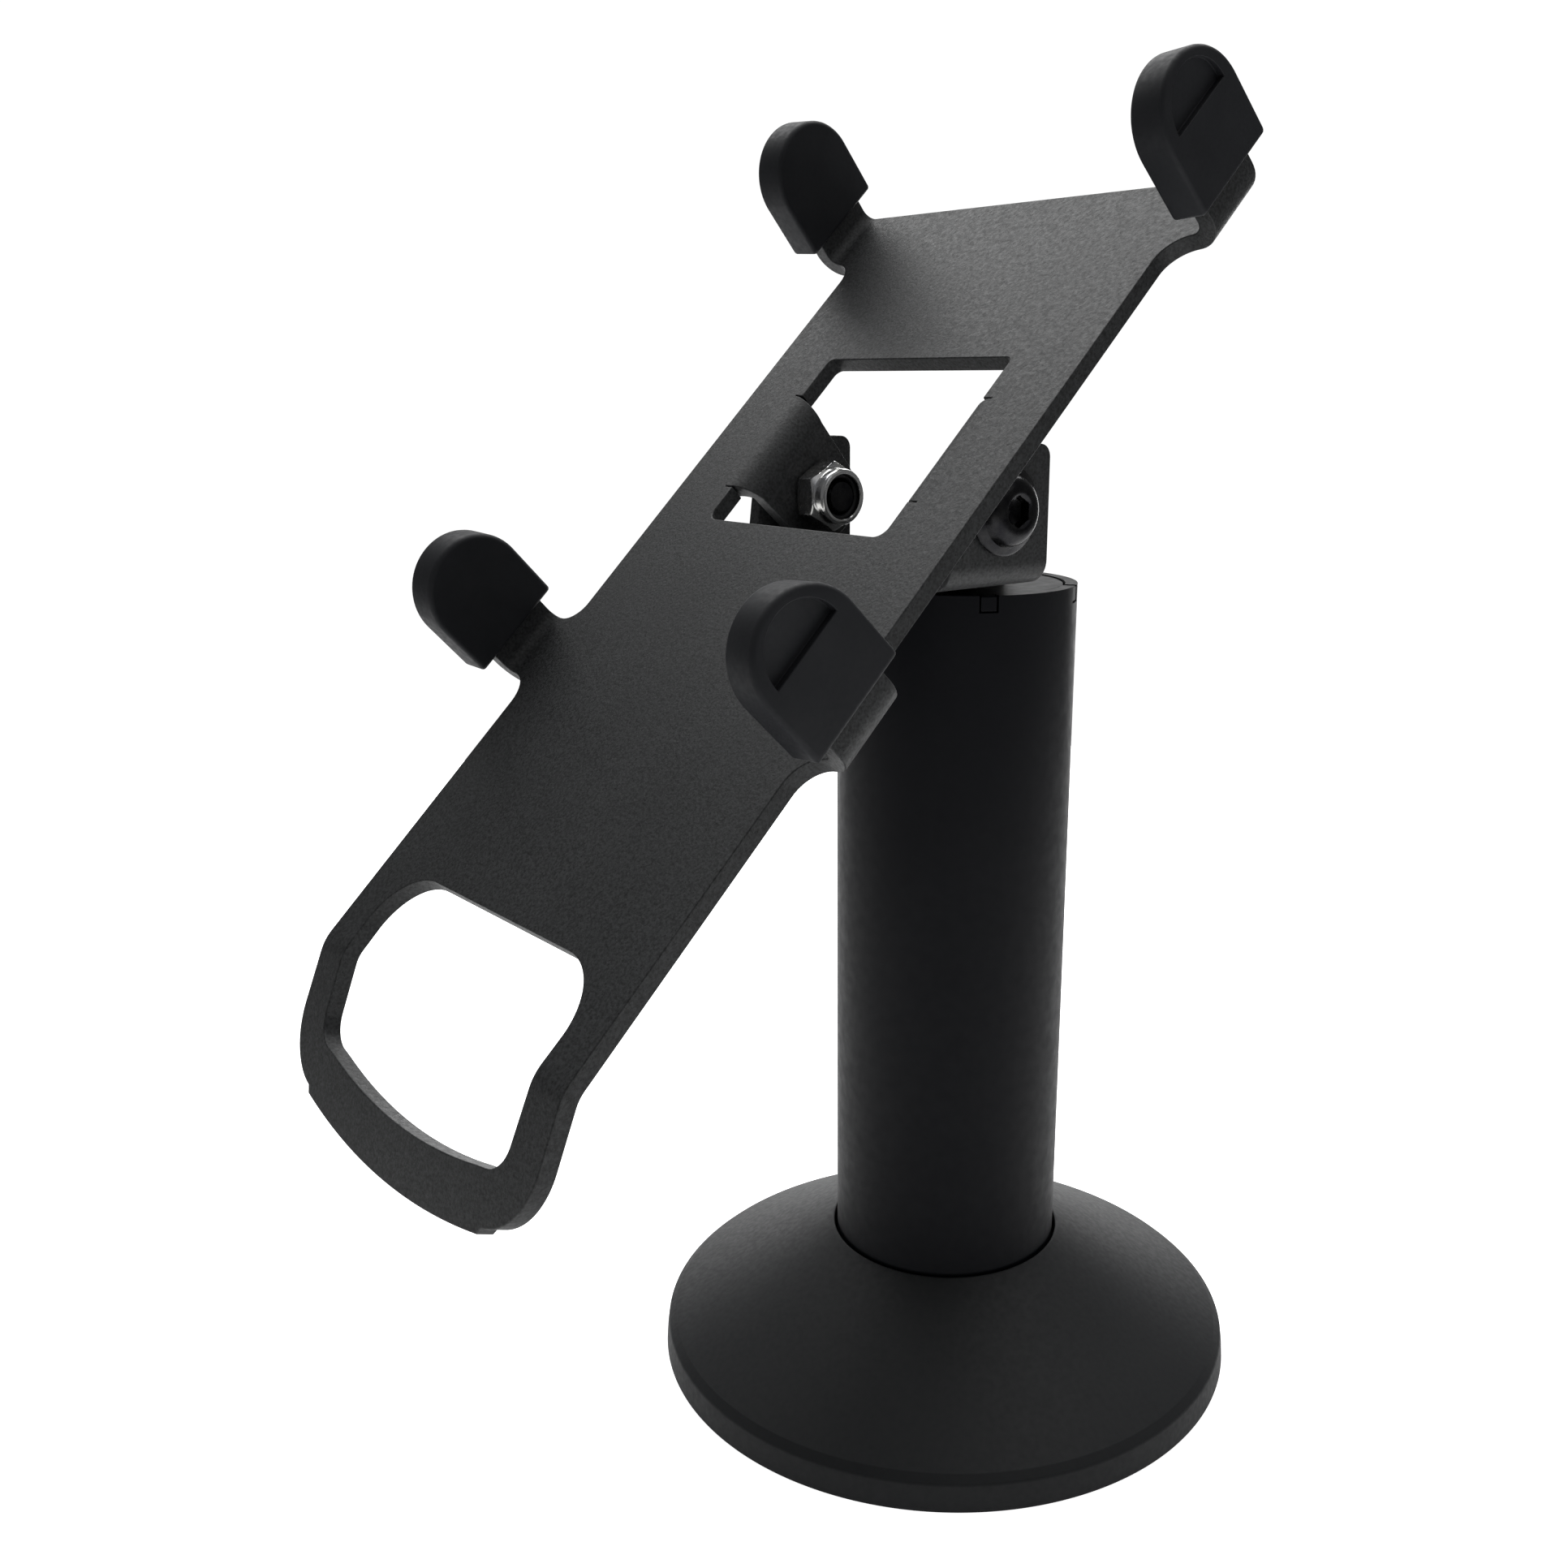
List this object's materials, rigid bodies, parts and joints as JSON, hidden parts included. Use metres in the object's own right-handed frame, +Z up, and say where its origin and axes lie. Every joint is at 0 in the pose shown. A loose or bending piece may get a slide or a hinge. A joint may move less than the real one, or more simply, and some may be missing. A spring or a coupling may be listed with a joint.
{
  "type": "card terminal pole stand",
  "caption": "Counter pole stand that holds a card-payment terminal in a bent sheet cradle, which tilts on a yoke and swivels on the pole.",
  "frame": {"origin": "on the pole's axis, at the level of the counter the foot stands on", "axes": "+Z up along the pole, -Y towards the side the cradle leans out over, +X to the right of someone behind the stand looking along +Y"},
  "size_m": [0.1042, 0.1593, 0.217],
  "materials": {
    "powder_coat": "fine-textured black powder coat",
    "black_steel": "smooth satin black",
    "black_plastic": "fine-grained matte black",
    "cap_plastic": "soft matte black",
    "zinc_steel": "bright zinc plate",
    "dark_nickel": "dark nickel plate",
    "nylon": "smooth dark nylon",
    "rubber": "matte black rubber"
  },
  "bodies": {
    "stand": {"base_pad": "rubber", "base_plate": "black_steel", "base_cover": "black_plastic", "pole_hub": "black_steel", "hub_bolt": "zinc_steel", "hub_washer": "zinc_steel", "pole_tube": "black_steel", "pole_top_plate": "black_steel", "swivel_washer": "nylon", "swivel_bolt": "dark_nickel", "swivel_spring_washer": "zinc_steel", "swivel_nut": "zinc_steel", "swivel_nut_insert": "nylon"},
    "yoke": {"yoke": "powder_coat", "tilt_bolt_left": "dark_nickel", "tilt_bolt_right": "dark_nickel", "tilt_washer_left": "nylon", "tilt_washer_right": "nylon", "tilt_nut_left": "zinc_steel", "tilt_nut_right": "zinc_steel", "tilt_nut_insert_left": "nylon", "tilt_nut_insert_right": "nylon"},
    "cradle": {"cradle_plate": "powder_coat", "arm_cap_upper_left": "cap_plastic", "arm_cap_upper_right": "cap_plastic", "arm_cap_lower_left": "cap_plastic", "arm_cap_lower_right": "cap_plastic"}
  },
  "joints": [
    {"name": "swivel", "type": "hinge", "parent": "stand", "child": "yoke", "pos_m": [0, 0, 0.1435], "axis": [0, 0, 1], "continuous": true},
    {"name": "tilt", "type": "hinge", "parent": "yoke", "child": "cradle", "pos_m": [0, -0.0148, 0.15505], "axis": [1, 0, 0], "range_deg": [-42, 38]}
  ]
}
